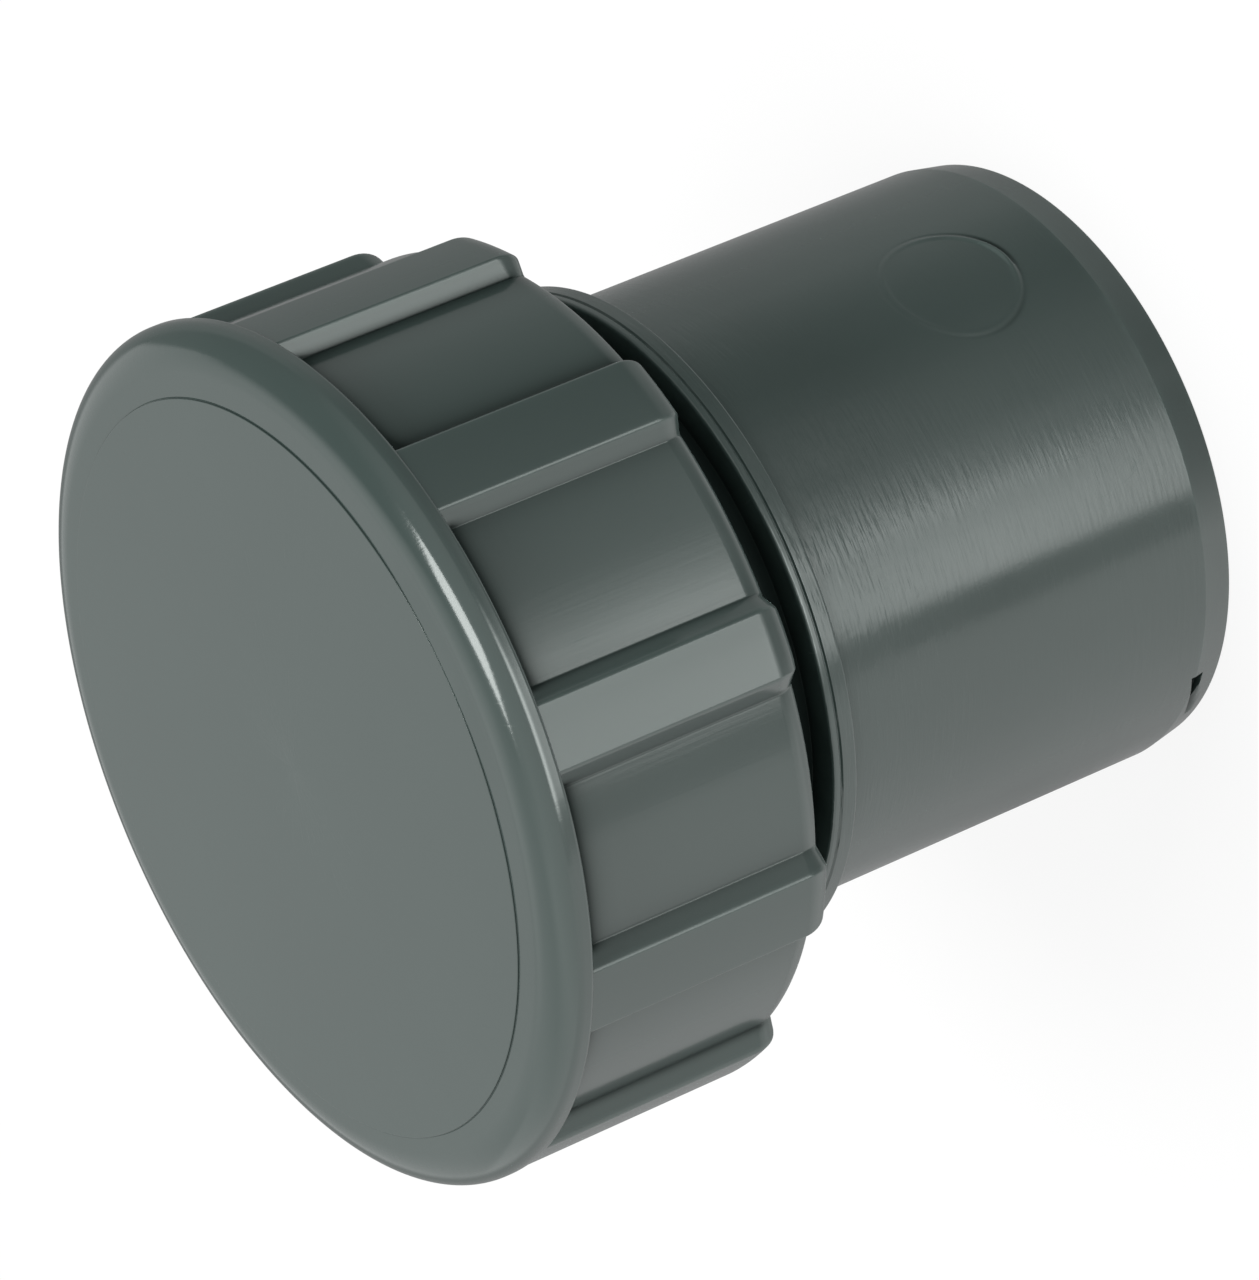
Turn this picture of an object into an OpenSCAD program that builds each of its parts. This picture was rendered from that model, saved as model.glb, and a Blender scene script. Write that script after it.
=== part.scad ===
// Access plug for a 40 mm solvent-weld waste pipe: a plain spigot with a collar and
// a threaded neck, a flat sealing washer, and a screw cap with grip lugs.
// Millimetres. The plug stands on the open end of its spigot, cap uppermost.

/* [Spigot] */
// outside diameter of the spigot, which goes into a pipe socket
spigot_od = 43; // [36:0.1:56]
// wall thickness of the spigot
spigot_wall = 2.4; // [1.8:0.1:3.5]
// length from the open end to the collar
spigot_length = 33; // [20:0.1:50]
// length of the lead-in chamfer at the open end
lead_in_length = 2.4; // [1:0.05:4]
// how far the lead-in chamfer takes the radius in
lead_in_depth = 0.45; // [0.2:0.01:1.2]
// small chamfer inside the open end
bore_chamfer = 0.4; // [0.1:0.05:0.8]

/* [Marks on the spigot] */
// diameter of the round witness mark left by the mould
witness_d = 9.9; // [4:0.1:14]
// width of the witness line
witness_line = 0.3; // [0.2:0.05:0.6]
// depth of the witness line
witness_depth = 0.12; // [0.05:0.01:0.3]
// height of the witness mark's centre above the open end
witness_height = 11.1; // [8:0.1:24]
// direction of the witness mark around the axis, in degrees
witness_angle = -45; // [-180:0.5:180]
// length of the wedge-shaped gate nick at the open end
nick_width = 4.4; // [1:0.1:6]
// height of the nick at its blunt end
nick_height = 0.8; // [0.4:0.05:1.5]
// depth of the gate nick
nick_depth = 0.5; // [0.2:0.05:1]
// direction of the gate nick around the axis, in degrees
nick_angle = -142; // [-180:0.5:180]

/* [Collar] */
// how far the collar stands out from the spigot
collar_width = 2; // [1.2:0.1:4]
// thickness of the collar
collar_height = 1.95; // [1.2:0.05:4]
// rounding of the collar's upper edge
collar_round = 0.45; // [0.2:0.05:0.6]
// rounding of the collar's lower edge
collar_under_round = 0.15; // [0.05:0.05:0.3]
// depth of the fine line around the collar
collar_line = 0.15; // [0.05:0.01:0.25]
// width of the fine line around the collar
collar_line_width = 0.26; // [0.1:0.02:0.4]
// distance from the line's middle up to the collar's upper rounding
collar_line_drop = 0.2; // [0.15:0.05:0.4]

/* [Neck] */
// height of the open gap between the collar and the cap
neck_gap = 4.65; // [3.5:0.05:8]
// how far the plain neck above the collar stands out from the spigot
neck_step = 0.9; // [0:0.1:1.4]
// height of the neck's shoulder under the thread
shoulder_height = 1.3; // [0.8:0.1:3]
// how far the shoulder ends below the cap's edge
shoulder_drop = 0.05; // [0:0.05:0.5]
// how far below the shoulder the bore starts to widen
flare_drop = 1.1; // [0.5:0.1:2]
// rise of the widening bore for each millimetre outward
flare_slope = 1.2; // [0.8:0.1:2]
// length of the neck inside the cap
neck_length = 16; // [13:0.05:24]
// bevel at the top of the neck
rim_bevel = 0.4; // [0.1:0.05:0.6]

/* [Thread] */
// how far the crest of the neck's thread stands out past the spigot
thread_step = 4.5; // [3.6:0.1:8]
// how far a thread ridge stands out
thread_depth = 1.2; // [0.8:0.05:1.5]
// rise in one turn
thread_pitch = 4; // [3.6:0.1:6]
// turns of full thread
thread_turns = 2.6; // [1.5:0.1:3]
// width of a ridge along its top
thread_crest = 1.1; // [0.7:0.05:1.3]
// lean of a ridge's sides, in degrees
thread_lean = 30; // [15:1:32]
// clearance between the two threads, measured outward
thread_gap = 0.3; // [0.2:0.05:0.5]
// share of a turn over which each end of a ridge fades away
thread_fade = 0.15; // [0.1:0.05:0.3]
// plain length left between a ridge's foot and each end of the neck
thread_end_gap = 0.45; // [0.2:0.05:1]

/* [Cap] */
// wall of the cap's skirt between the lugs
skirt_wall = 2.25; // [1.9:0.05:3.5]
// thickness of the cap's end
cap_end = 3.1; // [2.4:0.1:5]
// rounding of the skirt's open edge
skirt_edge_round = 1.2; // [0.3:0.05:1.3]
// bevel inside the skirt's open edge
skirt_bevel = 0.4; // [0.1:0.05:0.5]
// how far the rim of the head stands out past the lugs
rim_proud = 0.1; // [0.05:0.05:1]
// depth of the head's rim from the underside to its flat front
rim_height = 2.35; // [2.1:0.05:4]
// large rounding of the rim's front edge
rim_round = 1.6; // [0.8:0.05:1.65]
// small rounding of the rim's rear edge
rim_under_round = 0.35; // [0.1:0.05:0.4]
// distance from the rim's edge in to the raised disc
disc_inset = 4.45; // [2.5:0.05:8]
// height of the raised disc on the cap's front
disc_rise = 0.5; // [0.2:0.05:0.8]
// rounding of the raised disc's edge
disc_round = 0.15; // [0.05:0.05:0.2]

/* [Grip lugs] */
// number of lugs around the skirt
lug_count = 10; // [6:1:14]
// how far a lug stands out from the skirt
lug_height = 1.4; // [0.8:0.05:2.5]
// width of a lug along its top
lug_top = 5.1; // [3.6:0.05:8]
// how much wider a lug is at its foot, on each side
lug_flank = 0.8; // [0.3:0.05:1.6]
// rounding of a lug's long edges
lug_round = 0.3; // [0.1:0.05:0.5]
// hollow rounding along a lug's foot
lug_foot_round = 0.4; // [0.1:0.05:0.8]
// large rounding of a lug's end at the skirt's open edge
lug_end_round = 1.6; // [0.3:0.05:1.8]
// rounding of the two rear corners of a lug, seen from outside
lug_corner_round = 1.2; // [0.2:0.05:1.6]

/* [Sealing washer] */
// thickness of the washer
washer_height = 2.8; // [1.5:0.1:4]
// clearance between the washer's edge and the cap
washer_gap = 0.35; // [0.2:0.05:0.6]
// how far the washer reaches in past the neck's bore
washer_overhang = 0.4; // [0:0.1:1.5]

/* [Hidden] */
$fn = 96;
// rounding of an edge that lies inside other material
eps = 0.01;
// how far a cutting shape runs past the face that it cuts
over = 1;

// spigot
spigot_r = spigot_od / 2;
bore_r = spigot_r - spigot_wall;
collar_r = spigot_r + collar_width;
collar_top = spigot_length + collar_height;

// thread radii, shared by the neck and the cap
crest_r = spigot_r + thread_step;
root_r = crest_r - thread_depth;
cap_root_r = crest_r + thread_gap;
ridge_foot = thread_crest + 2 * thread_depth * tan(thread_lean);
// depth to which a ridge is let into its wall
ridge_sink = 0.35;
// part of a ridge's height that is left at its very ends
ridge_least = 0.02;
// steps of a ridge in one turn
ridge_steps = 40;

// neck
neck_r = spigot_r + neck_step;
neck_bore_r = root_r - spigot_wall;
cap_rear = collar_top + neck_gap;
shoulder_top = cap_rear - shoulder_drop;
shoulder_low = shoulder_top - shoulder_height;
rim_top = cap_rear + neck_length;
flare_low = shoulder_low - flare_drop;
flare_top = flare_low + flare_slope * (neck_bore_r - bore_r);

// sealing washer
washer_low = rim_top;
washer_top = washer_low + washer_height;
washer_out_r = cap_root_r - washer_gap;
washer_in_r = neck_bore_r - washer_overhang;

// cap
skirt_r = cap_root_r + skirt_wall;
lug_r = skirt_r + lug_height;
rim_r = lug_r + rim_proud;
disc_r = rim_r - disc_inset;
cap_front = washer_top + cap_end;
rim_front = cap_front - disc_rise;
rim_rear = rim_front - rim_height;

// thread heights: the two ridges are half a turn apart in height
neck_for_thread = neck_length - 2 * thread_end_gap - ridge_foot;
turns = min(thread_turns + 2 * thread_fade, neck_for_thread / thread_pitch);
ridge_start = cap_rear + thread_end_gap + ridge_foot / 2;
cap_turns = min(turns, neck_for_thread / thread_pitch - 1 / 2);

// Part of the ridge's height that stands at t turns from its start, of n in all.
function fade(t, n) =
    min(1, max(ridge_least, t / thread_fade), max(ridge_least, (n - t) / thread_fade));

// One cross-section of a ridge at t turns: out is 1 for a ridge that faces outward, -1 inward.
function ridge_section(t, n, z, foot_r, out) =
    let (h = thread_depth * fade(t, n),
         half_top = thread_crest / 2,
         half_foot = half_top + (h + ridge_sink) * tan(thread_lean),
         c = cos(360 * t), s = sin(360 * t),
         zc = z + thread_pitch * t,
         r0 = foot_r - out * ridge_sink,
         r1 = foot_r + out * h)
    [[r0 * c, r0 * s, zc - half_foot],
     [r1 * c, r1 * s, zc - half_top],
     [r1 * c, r1 * s, zc + half_top],
     [r0 * c, r0 * s, zc + half_foot]];

// A helical ridge of n turns that starts at height z.
module ridge(z, n, foot_r, out) {
    count = ceil(n * ridge_steps);
    rings = [for (i = [0:count]) ridge_section(n * i / count, n, z, foot_r, out)];
    points = [for (ring = rings) each ring];
    function side(a, b, c, d) = out > 0 ? [[a, b, c], [a, c, d]] : [[a, c, b], [a, d, c]];
    sides = [for (i = [0:count - 1], k = [0:3])
        each side(4 * i + k, 4 * i + (k + 1) % 4, 4 * (i + 1) + (k + 1) % 4, 4 * (i + 1) + k)];
    first = out > 0 ? [[3, 2, 1], [3, 1, 0]] : [[0, 1, 2], [0, 2, 3]];
    e = 4 * count;
    last = out > 0 ? [[e, e + 1, e + 2], [e, e + 2, e + 3]] : [[e + 3, e + 2, e + 1], [e + 3, e + 1, e]];
    polyhedron(points = points, faces = concat(sides, first, last));
}

// Profiles are drawn with the radius along x and the height along y.

// A rectangle from r0, z0 to r1, z1 whose outer corners are rounded: up at the top, low at the bottom.
module rounded_band(r0, z0, r1, z1, up, low) {
    polygon([[r0, z0], [r1 - low, z0], [r1, z0 + low], [r1, z1 - up], [r1 - up, z1], [r0, z1]]);
    translate([r1 - up, z1 - up]) circle(r = up);
    translate([r1 - low, z0 + low]) circle(r = low);
}

module spigot_outline() {
    collar_middle = spigot_length + collar_height / 2;
    polygon([[0, 0], [spigot_r - lead_in_depth, 0], [spigot_r, lead_in_length],
             [spigot_r, collar_middle], [neck_r, collar_middle], [neck_r, shoulder_low],
             [root_r, shoulder_top], [root_r, rim_top - rim_bevel], [root_r - rim_bevel, rim_top],
             [0, rim_top]]);
    difference() {
        rounded_band(0, spigot_length, collar_r, collar_top, collar_round, collar_under_round);
        translate([collar_r, collar_top - collar_round - collar_line_drop])
            polygon([[-collar_line, 0], [0, -collar_line_width / 2], [over, -collar_line_width / 2],
                     [over, collar_line_width / 2], [0, collar_line_width / 2]]);
    }
}

module spigot_bore() {
    polygon([[0, -over], [bore_r + bore_chamfer + over, -over], [bore_r + bore_chamfer, 0],
             [bore_r, bore_chamfer], [bore_r, flare_low], [neck_bore_r, flare_top],
             [neck_bore_r, rim_top + over], [0, rim_top + over]]);
}

// The round line that the mould leaves, cut into the spigot's surface.
module witness_mark() {
    difference() {
        rotate([0, 0, witness_angle]) translate([0, 0, witness_height]) rotate([0, 90, 0]) difference() {
            cylinder(r = witness_d / 2, h = spigot_r + over);
            translate([0, 0, -over])
                cylinder(r = witness_d / 2 - witness_line, h = spigot_r + 3 * over);
        }
        cylinder(r = spigot_r - witness_depth, h = spigot_length);
    }
}

// The wedge-shaped nick where the gate broke away, across the upper edge of the lead-in chamfer.
module nick() {
    rotate([0, 0, nick_angle]) translate([spigot_r - nick_depth, 0, lead_in_length])
        rotate([90, 0, 90]) linear_extrude(height = nick_depth + over)
            polygon([[nick_width / 2, -nick_height / 2], [nick_width / 2, nick_height / 2],
                     [-nick_width / 2, -nick_height / 2]]);
}

module spigot() {
    color([0.30, 0.33, 0.32]) difference() {
        union() {
            rotate_extrude() difference() { spigot_outline(); spigot_bore(); }
            ridge(ridge_start, turns, root_r, 1);
        }
        witness_mark();
        nick();
    }
}

module sealing_washer() {
    color([0.09, 0.09, 0.09]) translate([0, 0, washer_low]) difference() {
        cylinder(r = washer_out_r, h = washer_height);
        translate([0, 0, -over]) cylinder(r = washer_in_r, h = washer_height + 2 * over);
    }
}

// A lug seen along the axis, centred on +x. Its side runs from the foot to the shoulder.
foot_half = lug_top / 2 + lug_flank;
foot = [sqrt(skirt_r * skirt_r - foot_half * foot_half), foot_half];
shoulder = [sqrt(lug_r * lug_r - lug_top * lug_top / 4), lug_top / 2];
side_dir = (shoulder - foot) / norm(shoulder - foot);
side_in = [side_dir[1], -side_dir[0]];
// The point on the line through a along side_dir that lies d from the axis.
function on_line(a, d) = a + side_dir * (sqrt((a * side_dir) ^ 2 - a * a + d * d) - a * side_dir);
// Centre of the rounding along a long edge, and where it meets the side and the top.
edge_centre = on_line(foot + side_in * lug_round, lug_r - lug_round);
edge_side = edge_centre - side_in * lug_round;
edge_top = edge_centre * lug_r / norm(edge_centre);
// Centre of the hollow rounding at the foot, and where it meets the side and the skirt.
hollow_centre = on_line(foot - side_in * lug_foot_round, skirt_r + lug_foot_round);
hollow_side = hollow_centre + side_in * lug_foot_round;
hollow_skirt = hollow_centre * skirt_r / norm(hollow_centre);
lug_root_r = skirt_r - skirt_edge_round;

module lug_shape() {
    side = [[lug_root_r, foot[1]], foot, edge_side, edge_top, edge_top * (lug_r + over) / lug_r];
    intersection() {
        circle(r = lug_r);
        polygon(concat(side, [for (i = [len(side) - 1:-1:0]) [side[i][0], -side[i][1]]]));
    }
    for (m = [1, -1]) {
        translate([edge_centre[0], m * edge_centre[1]]) circle(r = lug_round);
        difference() {
            polygon([for (q = [foot - [1, 0] * lug_round, hollow_side, hollow_centre, hollow_skirt]) [q[0], m * q[1]]]);
            translate([hollow_centre[0], m * hollow_centre[1]]) circle(r = lug_foot_round);
        }
    }
}

// The lug seen from outside, with its two rounded rear corners: the width along x, the height along y.
module lug_face() {
    w = hollow_skirt[1];
    q = lug_corner_round;
    polygon([[-w, q], [q - w, 0], [w - q, 0], [w, q], [w, rim_front - cap_rear], [-w, rim_front - cap_rear]]);
    for (x = [q - w, w - q]) translate([x, q]) circle(r = q);
}

module lug() {
    intersection() {
        translate([0, 0, cap_rear])
            linear_extrude(height = rim_rear + rim_under_round - cap_rear) lug_shape();
        rotate_extrude() rounded_band(0, cap_rear, lug_r, rim_front, eps, lug_end_round);
        translate([0, 0, cap_rear]) rotate([90, 0, 90]) linear_extrude(height = rim_r) lug_face();
    }
}

module cap_outline() {
    rounded_band(0, cap_rear, skirt_r, rim_rear + rim_under_round, eps, skirt_edge_round);
    rounded_band(0, rim_rear, rim_r, rim_front, rim_round, rim_under_round);
    rounded_band(0, rim_front - disc_rise, disc_r, cap_front, disc_round, eps);
}

module cap_hollow() {
    polygon([[0, cap_rear - over], [cap_root_r + skirt_bevel + over, cap_rear - over],
             [cap_root_r + skirt_bevel, cap_rear], [cap_root_r, cap_rear + skirt_bevel],
             [cap_root_r, washer_top], [0, washer_top]]);
}

module screw_cap() {
    color([0.33, 0.36, 0.35]) union() {
        difference() {
            union() {
                rotate_extrude() cap_outline();
                for (i = [0:lug_count - 1]) rotate([0, 0, -90 + i * 360 / lug_count]) lug();
            }
            rotate_extrude() cap_hollow();
        }
        ridge(ridge_start + thread_pitch / 2, cap_turns, cap_root_r, -1);
    }
}

spigot();
sealing_washer();
screw_cap();
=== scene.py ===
"""Solvent-weld access plug: plain spigot, rubber sealing washer and ribbed screw cap.

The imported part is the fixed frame. This add-on builds finely moulded shapes of the spigot and the
cap over it, finishes them and the washer, and sets the floor, lamp and camera. Metres, Z up, with
the spigot's open end on the floor.
"""

import math

import bpy
import numpy as np
from mathutils import Euler, Matrix, Vector


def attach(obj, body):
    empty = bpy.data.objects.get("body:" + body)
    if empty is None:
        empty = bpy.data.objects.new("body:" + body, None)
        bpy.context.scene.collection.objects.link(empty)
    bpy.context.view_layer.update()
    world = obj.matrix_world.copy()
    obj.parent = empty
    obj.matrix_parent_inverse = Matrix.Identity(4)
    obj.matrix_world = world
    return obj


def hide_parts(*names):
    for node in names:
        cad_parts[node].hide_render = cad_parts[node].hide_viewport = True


bl_info = {
    "name": "Access plug",
    "version": (1, 0, 0),
    "blender": (4, 5, 0),
    "location": "View3D > Sidebar > Access plug",
    "description": "Moulded shapes, finishes and studio for a drainage access plug",
    "category": "Object",
}

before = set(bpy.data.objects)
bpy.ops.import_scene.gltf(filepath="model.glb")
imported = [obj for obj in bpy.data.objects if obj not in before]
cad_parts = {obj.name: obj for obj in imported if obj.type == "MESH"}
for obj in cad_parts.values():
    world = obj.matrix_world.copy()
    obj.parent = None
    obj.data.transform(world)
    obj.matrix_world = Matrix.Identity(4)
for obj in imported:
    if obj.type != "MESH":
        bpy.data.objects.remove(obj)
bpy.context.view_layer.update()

# the camera's compass direction in the frame, in degrees
CAMERA_SIDE = -81
LUGS = 10


def length(label, about, value):
    """A length in metres."""
    return bpy.props.FloatProperty(
        name=label, description=about, default=value, unit="LENGTH", precision=5
    )


def colour(label, about, value):
    """A colour as its linear red, green and blue."""
    return bpy.props.FloatVectorProperty(
        name=label, description=about, default=value, subtype="COLOR"
    )


def share(label, about, value):
    """A share from 0 to 1."""
    return bpy.props.FloatProperty(name=label, description=about, default=value, subtype="FACTOR")


class SpigotSizes(bpy.types.PropertyGroup):
    """Sizes of the spigot, its collar and its neck"""

    radius: length("Radius", "Outside radius of the plain spigot", 0.0215)
    bore: length("Bore", "Inside radius of the spigot", 0.0191)
    height: length("Height", "Height of the collar's underside", 0.033)
    lead_in: length("Lead-in", "Length of the chamfer at the open end", 0.0024)
    lead_in_depth: length("Lead-in depth", "How far the chamfer takes the radius in", 0.00045)
    collar: length("Collar", "Outside radius of the collar", 0.0235)
    collar_top: length("Collar top", "Height of the collar's top", 0.03495)
    neck: length("Neck", "Radius of the plain neck", 0.0212)
    shoulder: length("Shoulder", "Height of the shoulder's foot", 0.03825)
    root: length("Thread root", "Radius of the neck between its thread ridges", 0.0248)
    root_low: length("Thread start", "Height of the shoulder's top", 0.03955)
    neck_bore: length("Neck bore", "Inside radius of the neck", 0.0224)
    flare_low: length("Flare start", "Height where the bore starts to widen", 0.03715)
    flare_top: length("Flare end", "Height where the bore is widest", 0.04111)
    rim: length("Rim", "Height of the neck's rim", 0.0556)
    witness: length("Witness mark", "Radius of the round mould mark's line", 0.0046)
    witness_height: length("Witness height", "Height of the mould mark's centre", 0.0113)


class CapSizes(bpy.types.PropertyGroup):
    """Sizes of the screw cap"""

    rear: length("Rear edge", "Height of the skirt's open edge", 0.0396)
    skirt: length("Skirt", "Radius of the skirt between the lugs", 0.02855)
    lug: length("Lugs", "Radius over the lugs", 0.02995)
    lug_top: length("Lug width", "Width of a lug along its top", 0.0051)
    lug_flank: length("Lug flank", "How much wider a lug is at its foot, on each side", 0.0008)
    rim_rear: length("Rim rear", "Height of the rim's underside", 0.05865)
    rim: length("Rim", "Radius of the rim", 0.03005)
    rim_front: length("Rim front", "Height of the rim's flat front", 0.06138)
    disc: length("Disc", "Radius of the raised disc", 0.0257)
    front: length("Front", "Height of the raised disc's face", 0.0615)
    bore: length("Bore", "Inside radius of the skirt", 0.0263)
    hollow: length("Hollow", "Height of the ceiling inside", 0.0584)


class ThreadSizes(bpy.types.PropertyGroup):
    """Sizes of the screw thread"""

    pitch: length("Pitch", "Rise in one turn", 0.004)
    depth: length("Depth", "How far a ridge stands out", 0.0012)
    crest: length("Crest", "Width of a ridge along its top", 0.0011)
    start: length("Start", "Height at which the neck's ridge starts", 0.04129)


class PlasticLook(bpy.types.PropertyGroup):
    """Look of the moulded plastic"""

    shade: colour("Colour", "Base colour of the moulded plastic", (0.044, 0.066, 0.0605))
    roughness: share("Roughness", "Roughness of the clean moulded surface", 0.15)
    grain: length("Grain height", "Height of the fine moulding grain", 0.000004)


class Studio(bpy.types.PropertyGroup):
    """Floor and camera"""

    floor_width: length("Floor width", "Side of the square floor", 6.0)
    lens: bpy.props.FloatProperty(
        name="Lens", description="Focal length of the camera", default=242.16, unit="CAMERA"
    )


def bell(value, centre, width):
    """1 at the centre, falling away softly on both sides."""
    return np.exp(-((value - centre) / width) ** 2)


def soft_path(corners, steps=4):
    """Section points, as radius and height, with each corner (r, z, rounding) turned into an arc."""
    out = []
    last = len(corners) - 1
    for i, (r, z, rounding) in enumerate(corners):
        here = np.array((r, z))
        if rounding == 0 or i in (0, last):
            out.append(here)
            continue
        a = np.array(corners[i - 1][:2]) - here
        b = np.array(corners[i + 1][:2]) - here
        la, lb = np.linalg.norm(a), np.linalg.norm(b)
        a, b = a / la, b / lb
        half = math.acos(max(-1.0, min(1.0, float(a @ b)))) / 2
        # an arc takes up less than half of each side
        reach = min(rounding / math.tan(half), 0.49 * la, 0.49 * lb)
        rounding = reach * math.tan(half)
        centre = here + (a + b) / np.linalg.norm(a + b) * rounding / math.sin(half)
        p, q = here + a * reach - centre, here + b * reach - centre
        sweep = math.pi - 2 * half
        for k in range(steps + 1):
            t = k / steps
            arc = (math.sin((1 - t) * sweep) * p + math.sin(t * sweep) * q) / math.sin(sweep)
            out.append(centre + arc)
    return np.array(out)


def spaced(stops):
    """Values from a list of (start, end, step) stretches, in degrees or metres."""
    parts = [np.linspace(a, b, max(1, round((b - a) / s)), endpoint=False) for a, b, s in stops]
    return np.concatenate(parts)


def around(path, angles):
    """Turns a section about the Z axis at these angles."""
    r, z = path[:, 0][:, None], path[:, 1][:, None]
    return np.stack([r * np.cos(angles), r * np.sin(angles), z + 0 * angles], -1)


def grid_faces(rows, columns, wrap_rows=False, wrap_columns=False):
    """Faces of a grid of points, each as the numbers of its four corners."""
    i = np.arange(rows if wrap_rows else rows - 1)[:, None]
    j = np.arange(columns if wrap_columns else columns - 1)[None, :]
    up, on = (i + 1) % rows, (j + 1) % columns
    faces = np.stack([i * columns + j, i * columns + on, up * columns + on, up * columns + j], -1)
    return faces.reshape(-1, 4)


def mesh_of(name, points, faces):
    """A mesh from an array of points and a list of faces."""
    mesh = bpy.data.meshes.new(name)
    mesh.from_pydata(points.reshape(-1, 3).tolist(), [], faces)
    return mesh


def in_scene(name, data):
    """A new object with this mesh, lamp or camera, linked to the scene."""
    item = bpy.data.objects.new(name, data)
    bpy.context.scene.collection.objects.link(item)
    return item


def stand_in(name, mesh, body, node):
    """That mesh as a piece that rides on a body and stands for a node."""
    piece = in_scene(name, mesh)
    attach(piece, body)
    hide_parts(node)
    return piece


def weigh_normals(mesh):
    """Sets each point's normal by face area, so that broad faces stay flat beside fine roundings."""
    count = len(mesh.polygons)
    normal, area = np.empty(count * 3), np.empty(count)
    sides, owner = np.empty(count, int), np.empty(len(mesh.loops), int)
    mesh.polygons.foreach_get("normal", normal)
    mesh.polygons.foreach_get("area", area)
    mesh.polygons.foreach_get("loop_total", sides)
    mesh.loops.foreach_get("vertex_index", owner)
    weight = np.repeat(normal.reshape(-1, 3) * area[:, None], sides, axis=0)
    mean = np.zeros((len(mesh.vertices), 3))
    np.add.at(mean, owner, weight)
    mean /= np.maximum(np.linalg.norm(mean, axis=1, keepdims=True), 1e-20)
    mesh.normals_split_custom_set_from_vertices(mean.tolist())


def skin(name, points, body, node, slot, wrap=False, lids=False, **marks):
    """A closed-round grid of points (row, column, xyz) as a smooth piece that stands for a node.
    Each mark is an attribute with one value for each point."""
    rows, columns = points.shape[:2]
    faces = grid_faces(rows, columns, wrap, True).tolist()
    if lids:
        faces.append(list(range(columns))[::-1])
        faces.append(list(range((rows - 1) * columns, rows * columns)))
    mesh = mesh_of(name, points, faces)
    mesh.shade_smooth()
    weigh_normals(mesh)
    for key, values in marks.items():
        values = (values + np.zeros((rows, columns))).ravel()
        mesh.attributes.new(key, "FLOAT", "POINT").data.foreach_set("value", values)
    return stand_in(name, mesh, body, node)


def thread_ridge(name, size, turns, start, foot, out, body, node, slot):
    """A helical ridge with rounded edges on a wall of radius foot. It starts at the height start, and
    out is 1 where it faces outward and -1 inward."""
    steps_a_turn, fade_over = 150, 0.15
    sink, rounding, lean = 0.0003, 0.0002, math.tan(math.radians(30))
    half = size.crest / 2
    count = int(turns * steps_a_turn)
    rings = []
    for i in range(count + 1):
        t = turns * i / count
        h = size.depth * max(0.01, min(1.0, t / fade_over, (turns - t) / fade_over))
        foot_half = half + (h + sink) * lean
        section = soft_path([
            (-sink, -foot_half, 0), (h, -half, rounding), (h, half, rounding), (-sink, foot_half, 0),
        ])
        section[:, 0] = np.minimum(section[:, 0], h)
        a = math.tau * t
        r = foot + out * section[:, 0]
        z = start + size.pitch * t + section[:, 1]
        ring = np.stack([r * math.cos(a), r * math.sin(a), z], -1)
        rings.append(ring if out > 0 else ring[::-1])
    grid = np.array(rings).transpose(1, 0, 2)
    mesh = mesh_of(name, grid, grid_faces(*grid.shape[:2]).tolist())
    mesh.shade_smooth()
    return stand_in(name, mesh, body, node)


def add(tree, kind, place=(0, 0), **values):
    """A node of that kind with its inputs set by name."""
    node = tree.nodes.new(kind)
    node.location = place
    for name, value in values.items():
        node.inputs[name.replace("_", " ")].default_value = value
    return node


def fresh(name):
    """An empty node material."""
    material = bpy.data.materials.new(name)
    material.use_nodes = True
    material.node_tree.nodes.clear()
    return material, material.node_tree


def feed(tree, item, socket):
    """Sets an input to a number or colour, or links an output to it."""
    if isinstance(item, (float, tuple)):
        socket.default_value = item
    else:
        tree.links.new(item, socket)


def calc(tree, operation, first, second):
    """A math node; first and second are outputs or numbers."""
    node = tree.nodes.new("ShaderNodeMath")
    node.operation = operation
    feed(tree, first, node.inputs[0])
    feed(tree, second, node.inputs[1])
    return node.outputs[0]


def stretch(tree, value, low, high, start, end):
    """That value's stretch from low to high, laid onto start to end."""
    node = add(tree, "ShaderNodeMapRange", From_Min=low, From_Max=high, To_Min=start, To_Max=end)
    tree.links.new(value, node.inputs["Value"])
    return node.outputs["Result"]


def either(tree, how_much, first, second, place):
    """A mix of two shaders: all of the first at 0 and all of the second at 1."""
    node = add(tree, "ShaderNodeMixShader", place)
    feed(tree, how_much, node.inputs[0])
    tree.links.new(first.outputs[0], node.inputs[1])
    tree.links.new(second.outputs[0], node.inputs[2])
    return node


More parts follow.
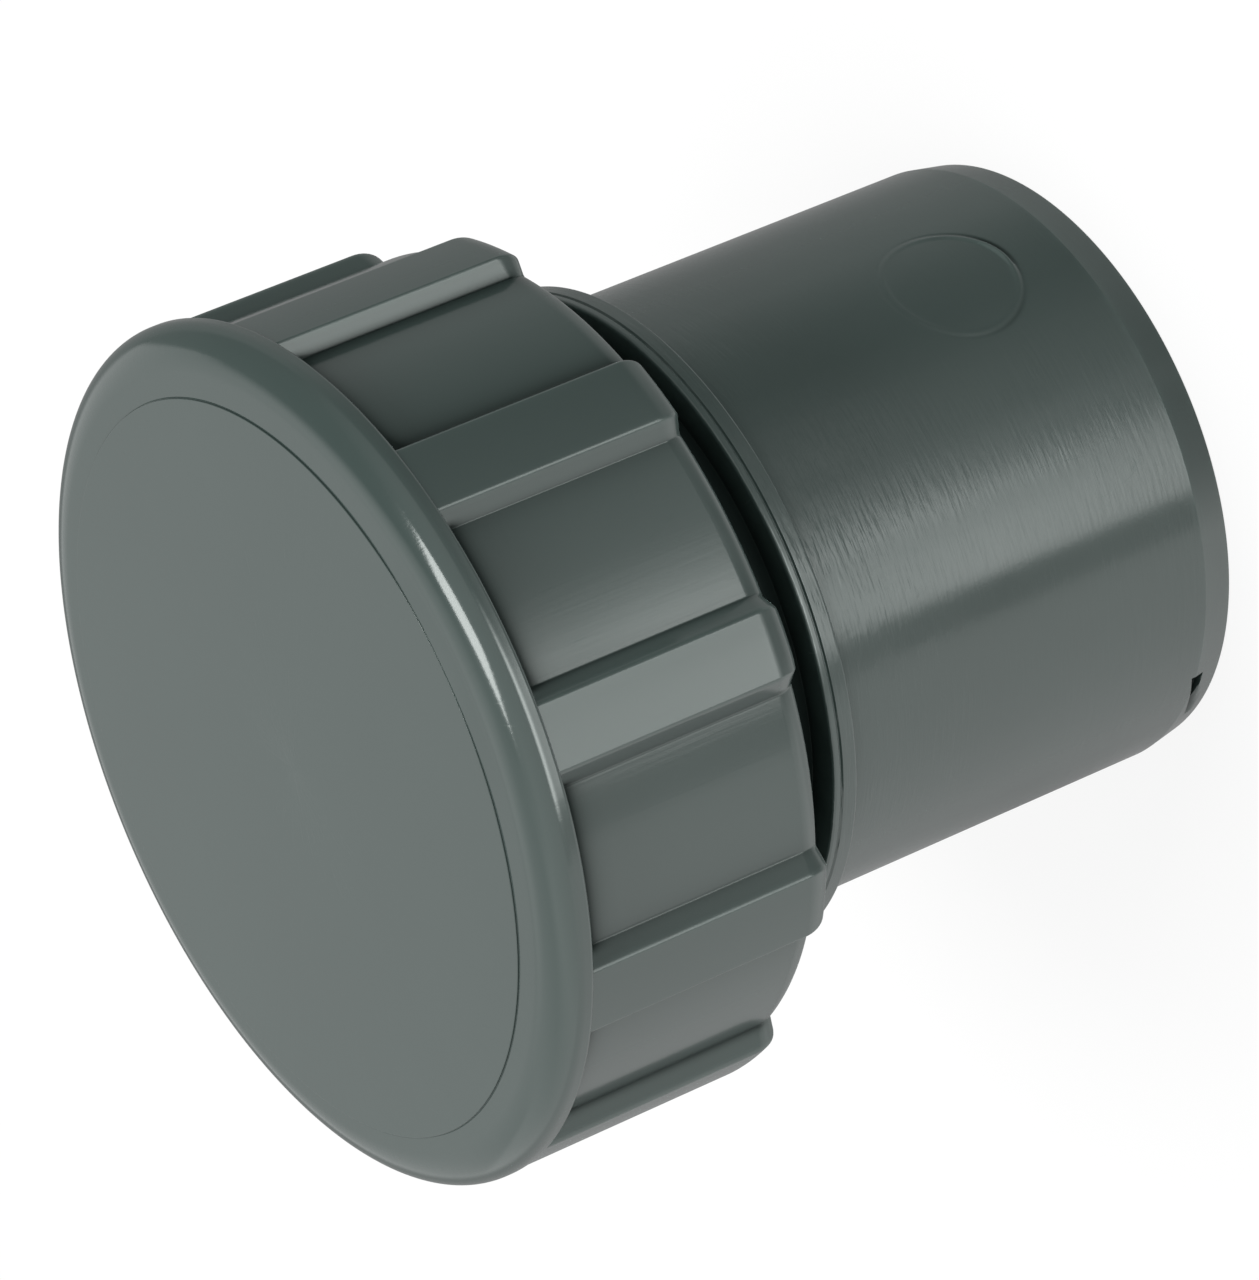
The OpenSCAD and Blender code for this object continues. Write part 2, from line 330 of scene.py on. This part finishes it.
def plastic(name, shade, roughness, grain, strokes, deepest=0.0):
    """Moulded plastic or rubber with its grain, tool strokes, scratches, edge wear, painted highlights and
    painted shade.
    strokes is how many times the tool's strokes change over one unit of direction, then per metre up;
    deepest is the height where they bite hardest."""
    material, tree = fresh(name)
    link = tree.links.new
    out = add(tree, "ShaderNodeOutputMaterial", (900, 0))
    surface = add(tree, "ShaderNodeBsdfPrincipled", (600, 0), IOR=1.5)
    surface.inputs["Specular Tint"].default_value = (0.95, 1.0, 0.975, 1)
    link(surface.outputs["BSDF"], out.inputs["Surface"])
    where = add(tree, "ShaderNodeTexCoord", (-1500, 0)).outputs["Object"]
    part = add(tree, "ShaderNodeSeparateXYZ", (-1300, -400))
    link(where, part.inputs[0])
    flat = add(tree, "ShaderNodeCombineXYZ", (-1150, -400))
    link(part.outputs["X"], flat.inputs["X"])
    link(part.outputs["Y"], flat.inputs["Y"])
    facing = tree.nodes.new("ShaderNodeVectorMath")
    facing.operation = "NORMALIZE"
    link(flat.outputs[0], facing.inputs[0])
    turned = add(tree, "ShaderNodeSeparateXYZ", (-850, -400))
    link(facing.outputs[0], turned.inputs[0])

    def stroked(round_it, up, detail):
        """Noise drawn out into strokes, from how fast it changes round the axis and along it."""
        spot = add(tree, "ShaderNodeCombineXYZ", (-600, -400))
        link(calc(tree, "MULTIPLY", turned.outputs["X"], round_it), spot.inputs["X"])
        link(calc(tree, "MULTIPLY", turned.outputs["Y"], round_it), spot.inputs["Y"])
        link(calc(tree, "MULTIPLY", part.outputs["Z"], up), spot.inputs["Z"])
        node = add(tree, "ShaderNodeTexNoise", (-400, -400), Scale=1.0, Detail=detail)
        link(spot.outputs[0], node.inputs["Vector"])
        return node.outputs["Fac"]

    def noise(scale, detail, place):
        """Plain noise that changes this many times over one metre."""
        node = add(tree, "ShaderNodeTexNoise", place, Scale=scale, Detail=detail)
        link(where, node.inputs["Vector"])
        return node.outputs["Fac"]

    def mixed(factor, first, second):
        """A mix of two colours."""
        node = tree.nodes.new("ShaderNodeMix")
        node.data_type = "RGBA"
        link(factor, node.inputs["Factor"])
        feed(tree, first, node.inputs["A"])
        feed(tree, second, node.inputs["B"])
        return node.outputs["Result"]

    def mark(key):
        """A mark that skin() wrote on the points."""
        node = add(tree, "ShaderNodeAttribute", (-900, 600))
        node.attribute_name = key
        return node.outputs["Fac"]

    def tone(k):
        """The plastic's own colour, k times as bright."""
        return (*[c * k for c in shade], 1)

    cloud = noise(60.0, 4.0, (-600, 300))
    patches = noise(350.0, 3.0, (-600, 150))
    # hair-thin scratches: narrow bands of a drawn-out noise, kept only in some patches
    off = calc(tree, "ABSOLUTE", calc(tree, "SUBTRACT", stroked(9.0, 90.0, 1.0), 0.5), 0.0)
    hair = stretch(tree, off, 0.0, 0.004, 1.0, 0.0)
    scratch = calc(tree, "MULTIPLY", hair, stretch(tree, patches, 0.56, 0.64, 0.0, 1.0))
    worn = calc(tree, "MULTIPLY", mark("worn"), stretch(tree, patches, 0.35, 0.6, 0.2, 1.0))
    nook = mark("nook")

    clean = mixed(cloud, tone(0.94), tone(1.06))
    # the wear mark lightens the colour: wear on edges, and a painted highlight on the spigot's round mark
    rubbed_and_highlit = mixed(calc(tree, "MULTIPLY", worn, 0.5), clean, tone(1.5))
    # painted shade darkens the colour towards a fraction of the plastic's tone and dims its gloss
    link(mixed(calc(tree, "MULTIPLY", nook, 0.8), rubbed_and_highlit, tone(0.15)), surface.inputs["Base Color"])
    link(stretch(tree, nook, 0.0, 1.0, 0.5, 0.04), surface.inputs["Specular IOR Level"])
    rough = stretch(tree, cloud, 0.3, 0.7, roughness * 0.85, roughness * 1.15)
    rough = calc(tree, "ADD", rough, calc(tree, "MULTIPLY", scratch, 0.1))
    link(calc(tree, "ADD", rough, calc(tree, "MULTIPLY", worn, 0.05)), surface.inputs["Roughness"])

    tool = stroked(*strokes, 3.0)
    if deepest:
        fading_over = 0.014
        deeper = stretch(tree, part.outputs["Z"], deepest - fading_over, deepest, 0.2, 1.0)
        bite = calc(tree, "MULTIPLY", deeper, stretch(tree, patches, 0.35, 0.65, 4.5, 10.0))
        tool = calc(tree, "MULTIPLY", tool, bite)
    fine = calc(tree, "MULTIPLY", noise(2200.0, 2.0, (-600, -150)), 0.5)
    height = calc(tree, "ADD", fine, tool)
    height = calc(tree, "SUBTRACT", height, calc(tree, "MULTIPLY", scratch, 0.3))
    bump = add(tree, "ShaderNodeBump", (300, -300), Strength=1.0, Distance=grain)
    link(height, bump.inputs["Height"])
    link(bump.outputs["Normal"], surface.inputs["Normal"])
    return material


class PLUG_OT_spigot(bpy.types.Operator):
    """Builds the spigot with its collar and threaded neck"""

    bl_idname = "plug.spigot"
    bl_label = "Spigot"

    def execute(self, context):
        scene = context.scene
        s, thread, look = scene.plug_spigot, scene.plug_thread, scene.plug_plastic
        end_r = s.radius - s.lead_in_depth
        # the fine line round the collar
        line, line_half = s.collar_top - 0.00065, 0.00014
        low = soft_path([
            (s.bore + 0.0004, 0.0004, 0), (s.bore + 0.0004, 0, 0.0001), (end_r, 0, 0.00015),
            (s.radius, s.lead_in, 0),
        ])[1:-1]
        chamfer = spaced([(0.0004, 0.0016, 0.0004), (0.0016, s.lead_in, 0.00004)])[:, None]
        chamfer = np.hstack([end_r + s.lead_in_depth * chamfer / s.lead_in, chamfer])
        # the rows lie close together at the nick and the round mark only
        nick_top, mark_low, mark_high = 0.0031, 0.0058, 0.0168
        wall = spaced([
            (s.lead_in, nick_top, 0.00004), (nick_top, mark_low, 0.0009), (mark_low, mark_high, 0.00012),
            (mark_high, s.height - 0.0004, 0.0015),
        ])
        wall = np.stack([np.full(len(wall), s.radius), wall], -1)
        high = soft_path([
            (s.radius, s.height - 0.001, 0), (s.radius, s.height, 0.0001), (s.collar, s.height, 0.00022),
            (s.collar, line - line_half, 0.00005), (s.collar - 0.00015, line, 0.00004),
            (s.collar, line + line_half, 0.00005), (s.collar, s.collar_top, 0.00045),
            (s.neck, s.collar_top, 0.00005), (s.neck, s.shoulder, 0.00003), (s.root, s.root_low, 0.00005),
            (s.root, s.rim, 0.0004), (s.neck_bore, s.rim, 0.0002), (s.neck_bore, s.flare_top, 0.0005),
            (s.bore, s.flare_low, 0.0005), (s.bore, 0.0008, 0.0001), (s.bore + 0.0004, 0, 0),
        ])[1:-1]
        path = np.concatenate([low, chamfer, wall, high])
        # directions of the round mark and the nick in degrees, with the columns closer together there
        mark, mark_half, nick, nick_half, coarse = -44.2, 15, -143.2, 8, 1.5
        angles = np.radians(spaced([
            (-180, nick - nick_half, coarse), (nick - nick_half, nick + nick_half, 0.2),
            (nick + nick_half, mark - mark_half, coarse), (mark - mark_half, mark + mark_half, 0.3),
            (mark + mark_half, 180, coarse),
        ]))
        points = around(path, angles)
        across, up = path[:, 0][:, None], path[:, 1][:, None]
        outer = across > (s.bore + s.radius) / 2
        z = points[..., 2]

        # the round mould mark: a ridge and a groove round it, strongest towards the open end
        facing = np.abs(angles - math.radians(mark)) < 0.5
        on_mark = (np.abs(across - s.radius) < 1e-6) * facing
        t = s.radius * np.sin(angles - math.radians(mark))[None, :]
        rise = z - s.witness_height
        ring = np.sqrt(t**2 + rise**2)
        aim = np.arctan2(t, -rise)
        strong = 0.3 + 2.4 * bell(aim, 0.15, 0.4) + 0.6 * bell(aim, 1.1, 0.5)
        depth = 0.0
        lines = ((s.witness, 0.0003, 0.00007), (s.witness + 0.00032, 0.00012, -0.00005))
        for place, width, height in lines:
            hump = np.clip(1 - np.abs(ring - place) / width, 0, 1)
            depth = depth - height * hump * hump * (3 - 2 * hump) * strong * on_mark

        # the gate nick: a wedge that widens along the spigot's edge and ends in a point on the other side
        nick_low, nick_wide, nick_left, nick_right, nick_long = 0.0016, 0.0011, 0.0028, 0.0022, 0.005
        nick_deep, nick_edge = 0.0005, 0.00006
        along = s.radius * (angles - math.radians(nick))[None, :]
        roof = nick_low + nick_wide * (nick_left + along) / nick_long
        wedge = np.minimum.reduce([nick_right - along + 0 * z, z - nick_low - 0.04 * along, roof - z])
        inside = np.clip(wedge / nick_edge, 0, 1) * (np.abs(along) < 0.0035) * (z < 0.004) * outer
        depth = depth + nick_deep * inside
        points[..., :2] *= (1 - depth / np.maximum(across, 1e-6))[..., None]

        # painted shade under the collar, in the gap round the neck, in the nick and beside the mark
        nook = 0.45 * np.exp(-np.maximum(s.height - up, 0) / 0.0008) * (up < s.height) * outer
        nook = np.maximum(nook, (up > s.collar_top - 0.0001) & (across < s.collar - 0.0005))
        nook = np.maximum(nook, inside)
        drawn = 0.9 * bell(aim, 0.35, 0.55) + 0.4 * bell(aim, -1.1, 0.5)
        nook = np.maximum(nook, drawn * bell(ring, s.witness + 0.00035, 0.00016) * on_mark)
        # wear along the edges, and a painted highlight inside the mark's ring, strongest on one side
        worn = sum(np.exp(-np.abs(up - edge) / 0.00025) for edge in (0.0001, s.lead_in, s.collar_top))
        worn = worn * (across > end_r - 0.0001)
        lit = 2.2 * bell(aim, 0.2, 0.5) + 0.8 * bell(aim, 1.2, 0.6)
        worn = worn + lit * bell(ring, s.witness - 0.0001, 0.0002) * on_mark

        kind = ("spigot", "spigot", "spigot_plastic")
        tube = skin("spigot_tube", points, *kind, wrap=True, nook=nook, worn=worn)
        ridge = thread_ridge("neck_thread", thread, 2.9, thread.start, s.root, 1, *kind)
        strokes = (8.0, 3200.0)
        material = plastic("spigot_plastic_skin", look.shade, look.roughness, look.grain, strokes, s.height)
        for piece in (tube, ridge):
            piece.data.materials.append(material)
        return {"FINISHED"}


class PLUG_OT_washer(bpy.types.Operator):
    """Gives the sealing washer its rubber finish"""

    bl_idname = "plug.washer"
    bl_label = "Sealing washer"

    def execute(self, context):
        black = (0.012, 0.013, 0.013)
        rubber = plastic("seal_rubber_skin", black, 0.6, 0.00001, (40.0, 900.0))
        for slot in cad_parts["sealing_washer"].material_slots:
            slot.material = rubber
        return {"FINISHED"}


def blend(a, b, k):
    """The smaller of a and b, rounded over k; with k below zero, the larger."""
    h = np.clip(0.5 + 0.5 * (b - a) / k, 0, 1)
    return b + (a - b) * h - k * h * (1 - h)


class PLUG_OT_cap(bpy.types.Operator):
    """Builds the screw cap with its lugs, rim and raised disc"""

    bl_idname = "plug.cap"
    bl_label = "Screw cap"

    def execute(self, context):
        scene = context.scene
        s, thread, look = scene.plug_cap, scene.plug_thread, scene.plug_plastic
        # columns from the middle of a lug to the middle of the next gap, in degrees
        half_lug = [(0, 4.0, 1.3), (4.0, 5.6, 0.08), (5.6, 6.4, 0.2), (6.4, 7.2, 0.06), (7.2, 18, 1.2)]
        one = spaced([(-b, -a, step) for a, b, step in half_lug[::-1]] + half_lug)
        angles = np.radians(np.concatenate([one + 360 / LUGS * k for k in range(LUGS)]))
        side_of = np.sign(np.tile(one, LUGS))
        which = np.repeat(np.arange(LUGS), len(one))
        local = np.abs(np.radians(np.tile(one, LUGS)))

        # two lugs came out of their mould with flanks that lean differently
        steep = (which == 2) & (side_of < 0)
        narrow = which == 0
        uneven = [steep, narrow & (side_of < 0), narrow]
        half = s.lug_top / 2 + np.select(uneven, [0.00027, -0.00033, -0.00018], 0)
        foot_half = half + s.lug_flank + np.select(uneven, [-0.00034, 0.00033, 0.0001], 0)
        foot = np.stack([np.sqrt(s.skirt**2 - foot_half**2), foot_half])
        shoulder = np.stack([np.sqrt(s.lug**2 - half**2), half])
        along = (shoulder - foot) / np.linalg.norm(shoulder - foot, axis=0)
        outward = np.stack([-along[1], along[0]])
        reach = (foot * outward).sum(0)
        # how much painted shade darkens the corner at each lug's foot; the darker ones have a fine groove
        # as well
        pale = 0.2
        shade = np.where(side_of > 0, 0.85, pale)
        shade[steep] = 1.0
        shade[narrow | (which == LUGS - 1)] = pale

        def outline(top_in, flank_in, skirt_in):
            """Radius all round, with the lugs' tops, their flanks and the skirt set in by that much."""
            facing = outward[0] * np.cos(local) + outward[1] * np.sin(local)
            side = (reach - flank_in) / np.maximum(facing, 1e-3)
            raised = blend(np.full_like(side, s.lug - top_in), np.minimum(side, 0.04), 0.00025)
            groove = 1 - np.abs(side - s.skirt + skirt_in + 0.00007) / 0.00016
            groove = np.clip(groove, 0, 1) * (shade > pale)
            return blend(raised, np.full_like(side, s.skirt - skirt_in), -0.00008) - 0.00005 * groove

        def level(r, z):
            """A row of the grid at these radii and heights."""
            return np.stack([r + 0 * angles, z + 0 * angles], -1)

        ceiling = soft_path([
            (0.001, s.hollow, 0), (s.bore, s.hollow, 0.0004), (s.bore, s.rear + 0.0004, 0.0001),
            (s.bore + 0.0004, s.rear, 0.0001), (s.bore + 0.0007, s.rear, 0),
        ])
        rows = [level(r, z) for r, z in ceiling]
        # the rounded rear edge runs all round the skirt and the lugs
        edge_steps, top_round, flank_round, skirt_round = 12, 0.0014, 0.0012, 0.0011
        for k in range(edge_steps + 1):
            e = math.radians(90 * (1 - k / edge_steps))
            fall, back = 1 - math.cos(e), 1 - math.sin(e)
            r = outline(top_round * fall, flank_round * fall, skirt_round * fall)
            on_lug = np.clip((r - s.skirt + skirt_round * fall) / 0.0014, 0, 1)
            rows.append(level(r, s.rear + (0.0017 + 0.0004 * on_lug) * back))
        # the sides' rows lie closer together towards the rim, where painted shade darkens them
        side = outline(0, 0, 0)
        heights = [0.0425, 0.05, 0.0555, 0.0564, 0.0569, 0.0573, 0.0576, 0.0579]
        heights += [s.rim_rear + more for more in (-0.0002, 0.0002, 0.00024)]
        rows += [level(side, z) for z in heights]

        under = soft_path([(0.028, s.rim_rear, 0), (s.rim, s.rim_rear, 0.00035), (s.rim, s.front, 0)], 8)
        # the head's large rounding, a quarter of an ellipse
        deep, tall = 0.0029, 0.002
        turn = np.radians(np.linspace(0, 90, 25))[:, None]
        quarter = np.array((deep, tall)) * np.hstack([np.cos(turn), np.sin(turn)])
        nose = np.array((s.rim - deep, s.rim_front - tall)) + quarter
        step = soft_path([
            (s.disc + 0.001, s.rim_front, 0), (s.disc + 0.0001, s.rim_front, 0.00003),
            (s.disc, s.rim_front - 0.00004, 0.00002), (s.disc, s.front, 0.00005), (0.001, s.front, 0),
        ])
        # the disc's edge lies a little off centre and is shallower on the camera's side
        from_camera = (np.degrees(angles) - (90 + CAMERA_SIDE) + 180) % 360 - 180
        off_centre = 1 - 0.0005 / s.disc * np.cos(np.radians(from_camera - 25))
        shallow = 0.75 * bell(from_camera, 5, 14)
        for r, z in np.concatenate([under[:-1], nose, step]):
            if 0.02 < r < s.disc + 0.0005:
                rows.append(level(r * off_centre, z + (s.front - z) * shallow))
            else:
                rows.append(level(r, z))
        grid = np.array(rows)
        wide, high = grid[..., 0], grid[..., 1]
        way = angles - math.pi / 2
        points = np.stack([wide * np.cos(way), wide * np.sin(way), high], -1)

        # painted shade at the lugs' feet and under the rim
        away = local * s.skirt - foot_half
        on_side = (wide > 0.0275) & (high < s.rim_rear - 0.00005)
        low_wall = np.clip((s.skirt + 0.0006 - wide) / 0.0005, 0, 1)
        inner = np.where((shade > pale) | (narrow & (side_of > 0)), 0.8, 0.3)
        foot_dark = np.where(away > 0, shade * np.exp(-away / 0.0009), inner * np.exp(away / 0.0002))
        rim_dark = 0.95 * np.exp(np.minimum(high - s.rim_rear + 0.0008, 0) / 0.0006)
        nook = np.clip(foot_dark * low_wall + rim_dark * low_wall, 0, 1) * on_side
        nook = nook * np.clip((high - s.rear) / 0.0015, 0, 1)
        # rubbed along the lugs' edges and the rear edge
        edge = np.exp(-np.abs(local * s.lug - half) / 0.00018) * (wide > s.lug - 0.0004)
        worn = edge * on_side + np.exp(-np.abs(high - s.rear) / 0.0003) * (wide > 0.0265)

        kind = ("cap", "screw_cap", "cap_plastic")
        shell = skin("cap_shell", points, *kind, lids=True, nook=nook, worn=worn)
        ridge = thread_ridge("cap_thread", thread, 2.8, thread.start + thread.pitch / 2, s.bore, -1, *kind)
        material = plastic("cap_plastic_skin", look.shade, look.roughness, look.grain, (110.0, 120.0))
        for piece in (shell, ridge):
            piece.data.materials.append(material)
        return {"FINISHED"}


def seen_directly(tree):
    """1 for camera, glossy and transmission rays, 0 for light that bounces softly."""
    path = add(tree, "ShaderNodeLightPath", (-900, -200))
    total = path.outputs["Is Camera Ray"]
    for name in ("Is Glossy Ray", "Is Transmission Ray"):
        total = calc(tree, "MAXIMUM", total, path.outputs[name])
    return total


def mirrored(walls):
    """From what an upright wall mirrors to where that lies: pairs of a wall's direction and a glow
    become pairs of a compass direction, in degrees from the camera's, and the glow. The camera stands
    so close that the reflections at the sides lie up to 2.6 degrees further on."""
    return [(2 * a + 2.6 * math.sin(math.radians(a)), glow) for a, glow in walls]


def reflection_tent(radius):
    """A tent of grey and white cloth round the object with a tall window in it. It shows only in
    the object's gloss and lights nothing. Each table holds pairs of a wall's direction, in degrees from
    the camera's, and the glow that such a wall mirrors there."""
    left = [(-90, 0.3), (-78, 0.45), (-70, 0.65), (-60, 1.1), (-50, 1.55), (-40, 1.9), (-30, 2.15)]
    level = mirrored(left + [
        (-23.6, 2.2), (-22.4, 1.6), (-17, 1.5), (0, 0.7), (6, 1.15), (10, 0.85), (20, 0.6), (30, 0.35),
        (38, 0.4), (50, 0.6), (60, 0.5), (67, 0.4), (78, 0.35), (90, 0.3),
    ])
    low = mirrored([(-90, 0.15)] + left[1:] + [
        (-15, 1.1), (0, 0.75), (6, 0.85), (10, 0.65), (20, 0.65), (30, 0.75), (38, 0.75), (50, 0.7),
        (60, 0.55), (78, 0.35), (90, 0.15),
    ])
    high = mirrored([
        (-90, 1.7), (-80, 1.3), (-60, 1.45), (-45, 2.1), (-20, 1.9), (0, 1.6), (20, 1.25), (32, 0.85),
        (45, 0.4), (60, 0.3), (74, 0.3), (81, 1.2), (90, 1.5),
    ])
    dim = mirrored([
        (-90, 0.1), (-50, 0.2), (-26, 0.4), (-22, 1.3), (-17, 1.4), (-14, 0), (0, 0.1), (4, 0.35),
        (10, 0.25), (35, 0.2), (45, 0.05), (90, 0),
    ])
    spigot_window = mirrored([
        (-17.2, 0), (-15.7, 3.6), (-13.5, 4.0), (-8, 4.3), (-5, 3.8), (-3, 2.9), (-1, 1.5), (0, 1.05),
        (3, 0.1), (5, 0),
    ])
    cap_window = mirrored([
        (-17.4, 0), (-15.8, 3.6), (-14, 4.1), (-8, 3.8), (-6, 3.0), (-4, 4.2), (-2.4, 7.2), (0, 5.9),
        (2, 4.1), (4, 2.8), (6, 1.7), (8, 1.0), (16, 0.65), (24, 0),
    ])
    # how bright the spigot's window is at each height over the horizon, in degrees
    rise = [
        (-40, 0), (-34, 0.4), (-31.5, 0.7), (-30, 1.25), (-29, 1.2), (-27, 0.75), (-22, 0.75), (-16, 1.2),
        (-10, 2.0), (-6, 2.4), (-2, 2.2), (2, 1.2), (6, 0),
    ]

    stops = [a for table in (level, spigot_window, cap_window) for a, glow in table]
    around_it = np.unique(np.concatenate([np.linspace(-180, 180, 181), stops]).clip(-180, 180))
    heights = [h for h, glow in rise]
    upward = np.concatenate([np.linspace(-90, 80, 35), np.linspace(-36, -24, 13), heights])
    turn, lift = np.meshgrid(around_it, np.unique(upward))

    def row(table):
        """What a table says for each direction."""
        return np.interp(turn, *zip(*table))

    def band(heights, shares):
        """How much of something there is at each height."""
        return np.interp(lift, heights, shares)

    # the level part, then what lies under it, over it, behind the object and overhead
    glow = row(level)
    glow += (row(low) - glow) * band([-46, -36], [1, 0])
    glow += (0.7 - glow) * band([-62, -54], [1, 0]) * 0.5
    glow += (1.1 - glow) * band([-76, -66], [1, 0])
    glow += (row(high) - glow) * band([4, 10], [0, 1])
    behind = np.interp(np.abs(turn), [150, 162], [0, 1])
    glow += (1.05 - glow) * band([10, 12, 33, 42], [0, 1, 1, 0]) * behind
    glow += (1.0 - 0.35 * np.sin(np.radians(turn)) - glow) * band([62, 78], [0, 1])
    # a darker band, which only the spigot's wall mirrors
    glow -= row(dim) * band([-31.3, -30, -29.4], [0, 1, 0])
    # the window slants for the spigot and stands upright in the narrow band that the cap mirrors
    slant = band([-32, -29, -25, -14, -6], [-2, 0, 8.5, 9, 13]) * np.interp(turn, [-28, -8], [0, 1])
    on_cap = band([-29.6, -29.2, -27.2, -26], [0, 1, 1, 0])
    glow += np.interp(turn - slant, *zip(*spigot_window)) * band(*zip(*rise)) * (1 - on_cap)
    glow += row(cap_window) * on_cap
    glow = np.maximum(glow, 0)

    flat, steep = np.radians(turn + CAMERA_SIDE), np.radians(lift)
    ways = [np.cos(flat) * np.cos(steep), np.sin(flat) * np.cos(steep), np.sin(steep)]
    # the cloth is open behind the object, so that the pale air shows there
    corner_turn, corner_lift = turn[:-1, :-1], lift[:-1, :-1]
    open_air = (corner_lift >= 8) & (corner_lift < 33) & (np.abs(corner_turn + 1) > 150)
    faces = grid_faces(*turn.shape)[~open_air.reshape(-1)]
    mesh = mesh_of("reflection_tent", radius * np.stack(ways, -1), faces.tolist())
    mesh.attributes.new("glow", "FLOAT", "POINT").data.foreach_set("value", glow.reshape(-1))
    tent = in_scene("reflection_tent", mesh)
    material, tree = fresh("tent_cloth")
    out = add(tree, "ShaderNodeOutputMaterial", (300, 0))
    light = add(tree, "ShaderNodeEmission")
    cloth = add(tree, "ShaderNodeAttribute", (-300, 0))
    cloth.attribute_name = "glow"
    tree.links.new(cloth.outputs["Fac"], light.inputs["Strength"])
    tree.links.new(light.outputs[0], out.inputs["Surface"])
    material.cycles.emission_sampling = "NONE"
    mesh.materials.append(material)
    tent.visible_camera = False
    tent.visible_diffuse = False
    tent.visible_shadow = False
    tent.visible_transmission = False


def paper_floor(width):
    """A square floor of pale paper; in the picture it is as white as the air behind it."""
    half = width / 2
    corners = np.array([(-half, -half, 0), (half, -half, 0), (half, half, 0), (-half, half, 0)])
    mesh = mesh_of("floor", corners, [(0, 1, 2, 3)])
    floor = in_scene("floor", mesh)
    material, tree = fresh("floor_paper")
    out = add(tree, "ShaderNodeOutputMaterial", (600, 0))
    pale = add(tree, "ShaderNodeBsdfDiffuse", (-100, 0), Color=(0.8, 0.8, 0.8, 1))
    white = add(tree, "ShaderNodeEmission", (-100, -150), Strength=1.05)
    shown = either(tree, 0.84, pale, white, (150, -50))
    both = either(tree, seen_directly(tree), pale, shown, (350, 0))
    tree.links.new(both.outputs[0], out.inputs["Surface"])
    mesh.materials.append(material)
    floor.visible_glossy = False


def studio_air():
    """A world that is white to look at and gives a soft light of half that strength."""
    world = bpy.data.worlds.new("studio_air")
    world.use_nodes = True
    tree = world.node_tree
    tree.nodes.clear()
    out = add(tree, "ShaderNodeOutputWorld", (600, 0))
    soft = add(tree, "ShaderNodeBackground", (0, 100), Color=(1, 1, 1, 1), Strength=0.5)
    white = add(tree, "ShaderNodeBackground", (0, -100), Color=(1, 1, 1, 1), Strength=1.0)
    mix = either(tree, seen_directly(tree), soft, white, (300, 0))
    tree.links.new(mix.outputs[0], out.inputs["Surface"])
    return world


class PLUG_OT_studio(bpy.types.Operator):
    """Sets the floor, lamp, reflections, background and camera"""

    bl_idname = "plug.studio"
    bl_label = "Studio"

    def execute(self, context):
        scene = context.scene
        look = scene.plug_studio
        scene.view_settings.view_transform = "Standard"
        paper_floor(look.floor_width)
        scene.world = studio_air()

        lamp = bpy.data.lights.new("overhead_lamp", "AREA")
        lamp.shape = "RECTANGLE"
        lamp.size, lamp.size_y = 0.45, 0.36
        lamp.energy = 6.5
        overhead = in_scene("overhead_lamp", lamp)
        to_camera_side = Matrix.Rotation(math.radians(CAMERA_SIDE), 3, "Z")
        overhead.location = to_camera_side @ Vector((0.2, 0.16, 1.0))
        downward = Vector((0, 0, 0.05)) - overhead.location
        overhead.rotation_euler = downward.to_track_quat("-Z", "Y").to_euler()

        tent_radius = 2.0
        reflection_tent(tent_radius)

        # the camera was fitted to the outlines in the photo
        view = bpy.data.cameras.new("camera")
        view.lens = look.lens
        view.clip_start, view.clip_end = 0.05, 10
        camera = in_scene("camera", view)
        camera.location = (0.078469, -0.499061, 0.307988)
        tilt = [math.radians(a) for a in (-35.53677, 54.22799, -122.32498)]
        camera.rotation_euler = Euler(tilt, "XYZ")
        scene.camera = camera
        return {"FINISHED"}


class PLUG_PT_panel(bpy.types.Panel):
    """Buttons for the plug's pieces and studio"""

    bl_idname = "PLUG_PT_panel"
    bl_label = "Access plug"
    bl_space_type = "VIEW_3D"
    bl_region_type = "UI"
    bl_category = "Access plug"

    def draw(self, context):
        for operator in OPERATORS:
            self.layout.operator(operator.bl_idname)


OPERATORS = (PLUG_OT_spigot, PLUG_OT_washer, PLUG_OT_cap, PLUG_OT_studio)
GROUPS = {
    "plug_spigot": SpigotSizes,
    "plug_cap": CapSizes,
    "plug_thread": ThreadSizes,
    "plug_plastic": PlasticLook,
    "plug_studio": Studio,
}
CLASSES = (*GROUPS.values(), *OPERATORS, PLUG_PT_panel)


def register():
    """Registers the classes and hangs each group of sizes on the scene."""
    for item in CLASSES:
        bpy.utils.register_class(item)
    for name, group in GROUPS.items():
        setattr(bpy.types.Scene, name, bpy.props.PointerProperty(type=group))


def unregister():
    """Takes away what register() added."""
    for name in GROUPS:
        delattr(bpy.types.Scene, name)
    for item in reversed(CLASSES):
        bpy.utils.unregister_class(item)


def main():
    """Builds everything."""
    register()
    bpy.ops.plug.spigot()
    bpy.ops.plug.washer()
    bpy.ops.plug.cap()
    bpy.ops.plug.studio()


if __name__ == "__main__":
    main()
